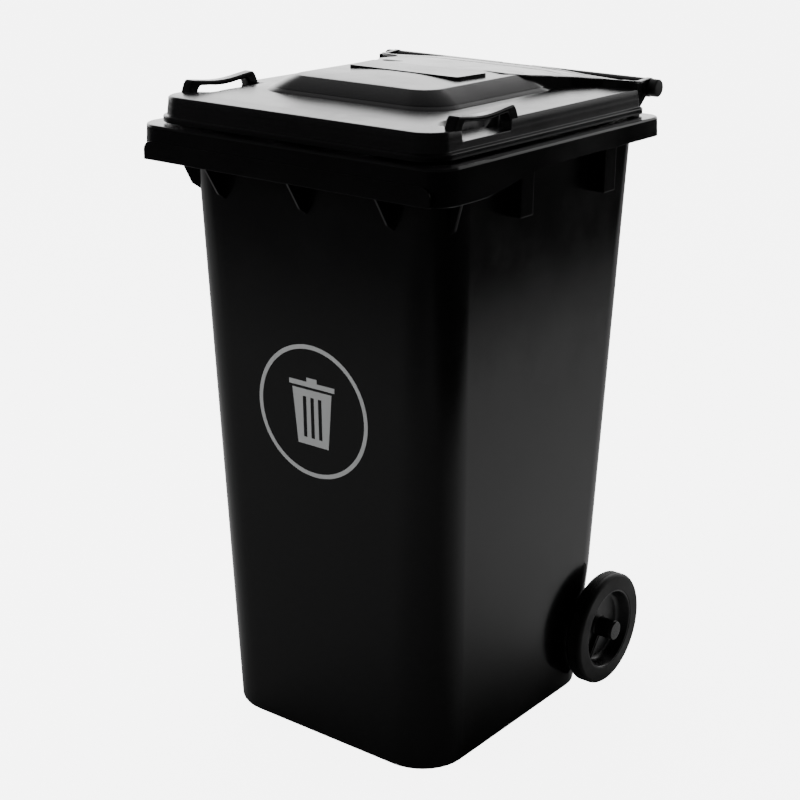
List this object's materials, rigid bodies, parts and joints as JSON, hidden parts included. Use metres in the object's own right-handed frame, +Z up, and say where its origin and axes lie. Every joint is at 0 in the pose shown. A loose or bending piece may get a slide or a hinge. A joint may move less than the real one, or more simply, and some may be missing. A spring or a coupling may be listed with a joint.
{
  "type": "wheelie bin",
  "caption": "Tapered plastic refuse container on wheels, with a hinged domed lid, side handles on the lid, rear grips, and wheels locked on a steel axle by sprung pins.",
  "frame": {"origin": "middle of the overall footprint, on the floor", "axes": "+Z up, -Y towards the front, +Y towards the hinge and the wheels, X across"},
  "size_m": [0.583, 0.668, 1.081],
  "materials": {
    "bin_plastic": "moulded black polyethylene, satin to glossy",
    "lid_plastic": "moulded black polyethylene, glossy on the top face",
    "pin_plastic": "moulded black plastic",
    "wheel_plastic": "moulded black plastic, satin",
    "cap_plastic": "moulded dark grey plastic",
    "tyre_rubber": "black solid rubber",
    "axle_steel": "zinc-plated steel bar",
    "washer_steel": "zinc-plated steel",
    "lock_steel": "turned steel",
    "spring_steel": "drawn spring wire",
    "print_film": "white hot-stamped print"
  },
  "bodies": {
    "container": {"body": "bin_plastic", "axle": "axle_steel", "print_ring": "print_film", "print_bin": "print_film", "hinge_pin_left": "pin_plastic", "washer_left": "washer_steel", "hinge_pin_right": "pin_plastic", "washer_right": "washer_steel"},
    "lid_assembly": {"lid": "lid_plastic"},
    "wheel_left": {"wheel_disc_left": "wheel_plastic", "tyre_left": "tyre_rubber", "hub_cap_left": "cap_plastic", "lock_spring_left": "spring_steel", "lock_plug_left": "cap_plastic"},
    "lock_left": {"lock_pin_left": "lock_steel"},
    "wheel_right": {"wheel_disc_right": "wheel_plastic", "tyre_right": "tyre_rubber", "hub_cap_right": "cap_plastic", "lock_spring_right": "spring_steel", "lock_plug_right": "cap_plastic"},
    "lock_right": {"lock_pin_right": "lock_steel"}
  },
  "joints": [
    {"name": "lid_hinge", "type": "hinge", "parent": "container", "child": "lid_assembly", "pos_m": [0, 0.278, 1.045], "axis": [-1, 0, 0], "range_deg": [0, 255]},
    {"name": "wheel_left_spin", "type": "hinge", "parent": "container", "child": "wheel_left", "pos_m": [-0.249, 0.234, 0.1], "axis": [1, 0, 0], "continuous": true},
    {"name": "lock_left_release", "type": "slide", "parent": "wheel_left", "child": "lock_left", "axis": [0, 0, 1], "range_m": [0, 0.0028], "stiffness_N_per_m": 400, "springref_m": -0.004, "deforming": ["lock_spring_left"]},
    {"name": "wheel_right_spin", "type": "hinge", "parent": "container", "child": "wheel_right", "pos_m": [0.249, 0.234, 0.1], "axis": [1, 0, 0], "continuous": true},
    {"name": "lock_right_release", "type": "slide", "parent": "wheel_right", "child": "lock_right", "axis": [0, 0, 1], "range_m": [0, 0.0028], "stiffness_N_per_m": 400, "springref_m": -0.004, "deforming": ["lock_spring_right"]}
  ]
}
